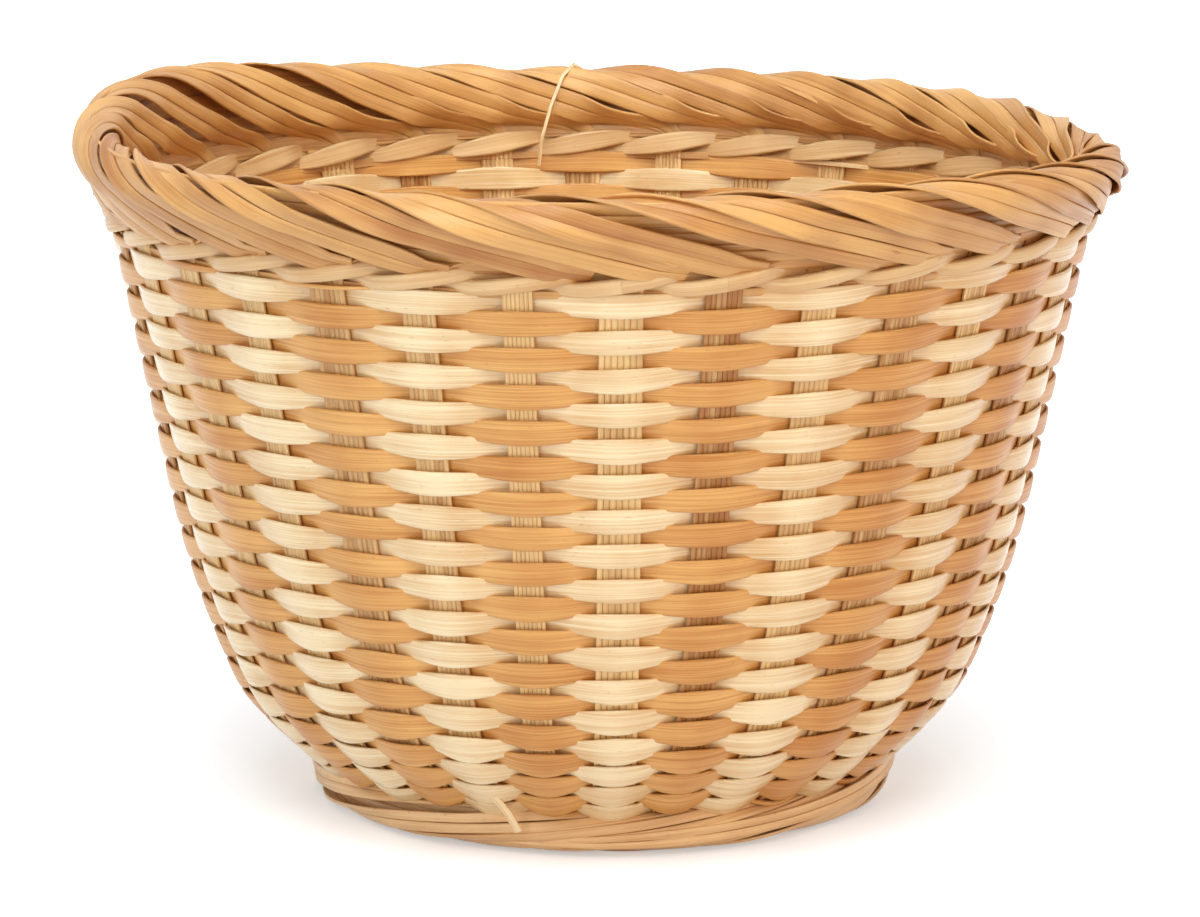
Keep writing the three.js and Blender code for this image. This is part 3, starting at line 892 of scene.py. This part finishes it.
# The edge values darken each strip's edges as painted shade.
PALE_WEAVER = bamboo("pale_weaver_bamboo", (249, 225, 179), (212, 162, 95),
                     shade_range=0.55, contrast=0.55, edge_shade=0.1, gloss=0.24, shine=0.7)
HONEY_WEAVER = bamboo("honey_weaver_bamboo", (234, 180, 106), (195, 127, 58),
                      shade_range=0.6, contrast=0.55, edge_shade=0.14, gloss=0.36, shine=0.4)
STAKE = bamboo("stake_bamboo", (244, 205, 142), (176, 115, 54),
               shade_range=1.3, contrast=0.3, edge_shade=0.14, gloss=0.46)
BORDER_BAMBOO = bamboo("border_bamboo", (223, 171, 103), (173, 110, 52),
                       shade_range=0.9, contrast=0.28, edge_shade=0.12, gloss=0.4)
TWINE = bamboo("twine_bamboo", (239, 206, 154), (206, 157, 100),
               shade_range=0.5, contrast=0.4, edge_shade=0.16, gloss=0.36)
FOOT_BAMBOO = bamboo("foot_bamboo", (243, 202, 148), (210, 157, 102),
                     shade_range=0.6, contrast=0.5, edge_shade=0.14, gloss=0.4)


# The basket's pieces

def numbered(name, count):
    return [f"{name}_{number:02d}" for number in range(1, count + 1)]


lay("light_weavers", weaver_guides(STAKES // 2, 0, PALE_BEND_HIGHLIGHT), PALE_WEAVER, "light_bamboo",
    numbered("light_weaver", STRIPS_PER_COLOUR), crown=0.35, width_spread=0.02, strand_shade=0.75, seed=3)
lay("dark_weavers", weaver_guides(0, 1, HONEY_BEND_TONE), HONEY_WEAVER, "dark_bamboo",
    numbered("dark_weaver", STRIPS_PER_COLOUR), crown=0.35, width_spread=0.02, strand_shade=0.75, seed=13)
lay("stakes", spoke_guides(), STAKE, "stake_bamboo", numbered("spoke", SPOKES),
    splints=7, crown=0.25, section_points=8, edge_softness=0.3, width_spread=0.04, lift_spread=0.06 * MM,
    strand_shade=0.8, seed=23)
lay("floor_weavers", floor_weaver_guides(), HONEY_WEAVER, "dark_bamboo", [], crown=0.6, seed=33)
lay("border_bands", border_guides(), BORDER_BAMBOO, "stake_bamboo", [],
    splints=2, crown=0.3, width_spread=0.06, lift_spread=0.08 * MM, wander=0.18 * MM,
    strand_shade=0.6, seed=43)
lay("border_core", border_core_guides(), BORDER_BAMBOO, "stake_bamboo", [], seed=93)
lay("twined_row", twine_guides(), TWINE, "twine_bamboo", ["twine_front_even", "twine_front_odd"],
    crown=0.5, edge_softness=0.5, seed=53)
lay("foot_bands", foot_guides(), FOOT_BAMBOO, "foot_bamboo", numbered("foot_strand", FOOT_STRANDS),
    splints=2, crown=0.25, lift_spread=0.08 * MM, wander=0.2 * MM, seed=63)
lay("foot_core", foot_core_guides(), FOOT_BAMBOO, "foot_bamboo", [], seed=103)
lay("foot_wrap", foot_wrap_guides(), FOOT_BAMBOO, "foot_bamboo", [], splints=2, crown=0.25, seed=113)
lay("loose_splint", loose_splint_guides(), PALE_WEAVER, "stake_bamboo", [], crown=0.4, seed=73)
lay("foot_splint_end", foot_end_guides(), PALE_WEAVER, "light_bamboo", [], crown=0.4, seed=83)


# Studio: a white floor that keeps the shadow, and soft lamps at both sides, above and into the mouth

BASKET_MIDDLE = (0, 0, 0.07)
WHITE = (1, 1, 1, 1)
ROOM_STRENGTH = 0.55
BACKGROUND_STRENGTH = 1.0


def sees_background(tree):
    """One for the camera's rays and for rays that are mirrored or let through."""
    path = place_node(tree, "ShaderNodeLightPath").outputs
    mirrored = maths(tree, "MAXIMUM", path["Is Glossy Ray"], path["Is Transmission Ray"])
    return maths(tree, "MAXIMUM", path["Is Camera Ray"], mirrored)


def floor_finish():
    """White that takes shadow, and glows less near the basket so that the shadow shows."""
    near, near_glow = 0.05, 0.38
    far, far_glow = 0.3, 0.75
    material = bpy.data.materials.new("white_floor")
    material.use_nodes = True
    tree = material.node_tree
    surface = tree.nodes["Principled BSDF"]
    surface.inputs["Base Color"].default_value = (0.84, 0.9, 0.98, 1)
    surface.inputs["Roughness"].default_value = 0.9
    surface.inputs["Specular IOR Level"].default_value = 0.0
    surface.inputs["Emission Color"].default_value = WHITE
    spot = place_node(tree, "ShaderNodeTexCoord").outputs["Object"]
    away = place_node(tree, "ShaderNodeVectorMath", {0: spot}, operation="LENGTH").outputs["Value"]
    sockets = {0: away, 1: near, 2: far, 3: near_glow, 4: far_glow}
    glow = place_node(tree, "ShaderNodeMapRange", sockets).outputs[0]
    glow = maths(tree, "MULTIPLY", sees_background(tree), glow)
    tree.links.new(glow, surface.inputs["Emission Strength"])
    return material


def white_floor():
    radius = 6.0
    below_foot = 0.2 * MM
    turn = np.linspace(0, 2 * math.pi, 64, endpoint=False)
    rim = np.c_[radius * np.cos(turn), radius * np.sin(turn), np.full(len(turn), -below_foot)]
    mesh = bpy.data.meshes.new("floor")
    mesh.from_pydata(rim.tolist(), [], [list(range(len(turn)))])
    mesh.materials.append(floor_finish())
    floor = bpy.data.objects.new("floor", mesh)
    bpy.context.scene.collection.objects.link(floor)


def world_light():
    world = bpy.data.worlds.new("studio")
    bpy.context.scene.world = world
    world.use_nodes = True
    tree = world.node_tree
    tree.nodes.clear()
    room = place_node(tree, "ShaderNodeBackground", {"Color": WHITE, "Strength": ROOM_STRENGTH})
    background = place_node(tree, "ShaderNodeBackground", {"Color": WHITE, "Strength": BACKGROUND_STRENGTH})
    sockets = {0: sees_background(tree), 1: room.outputs[0], 2: background.outputs[0]}
    mixed = place_node(tree, "ShaderNodeMixShader", sockets)
    place_node(tree, "ShaderNodeOutputWorld", {0: mixed.outputs[0]})


def aim(thing, place, target):
    thing.location = place
    thing.rotation_mode = "QUATERNION"
    thing.rotation_quaternion = (Vector(target) - Vector(place)).to_track_quat("-Z", "Y")


def soft_lamp(name, azimuth, height, distance, size, watts, colour=(1, 1, 1), target=BASKET_MIDDLE, fan=180):
    """A flat lamp of a width and a height, turned to the target, whose light fans out by an angle."""
    lamp = bpy.data.lights.new(name, "AREA")
    lamp.color = colour
    lamp.shape = "RECTANGLE"
    lamp.size, lamp.size_y = size
    lamp.energy = watts
    lamp.spread = math.radians(fan)
    made = bpy.data.objects.new(name, lamp)
    bpy.context.scene.collection.objects.link(made)
    turn = math.radians(azimuth)
    aim(made, (distance * math.sin(turn), -distance * math.cos(turn), height), target)


def camera():
    elevation = math.radians(11.2)
    distance = 1.036
    data = bpy.data.cameras.new("camera")
    data.sensor_width = 36
    data.lens = 147
    data.clip_start, data.clip_end = 0.05, 30
    made = bpy.data.objects.new("camera", data)
    bpy.context.scene.collection.objects.link(made)
    place = (0, -distance * math.cos(elevation), BASKET_MIDDLE[2] + distance * math.sin(elevation))
    aim(made, place, BASKET_MIDDLE)
    bpy.context.scene.camera = made


camera()
white_floor()
world_light()
soft_lamp("key", azimuth=-40, height=0.3, distance=1.3, size=(0.24, 0.5), watts=2.2, colour=(1, 0.95, 0.88))
soft_lamp("fill", azimuth=44, height=0.3, distance=1.4, size=(0.24, 0.5), watts=3.2, colour=(1, 0.56, 0.16))
soft_lamp("top", azimuth=0, height=1.6, distance=0.6, size=(1.2, 1.2), watts=17)
soft_lamp("inner", azimuth=0, height=0.62, distance=0.62, size=(0.3, 0.12), watts=0.06, colour=(0.8, 1, 1),
          target=(0, 0.09, 0.125), fan=24)

bpy.context.scene.view_settings.view_transform = "Standard"
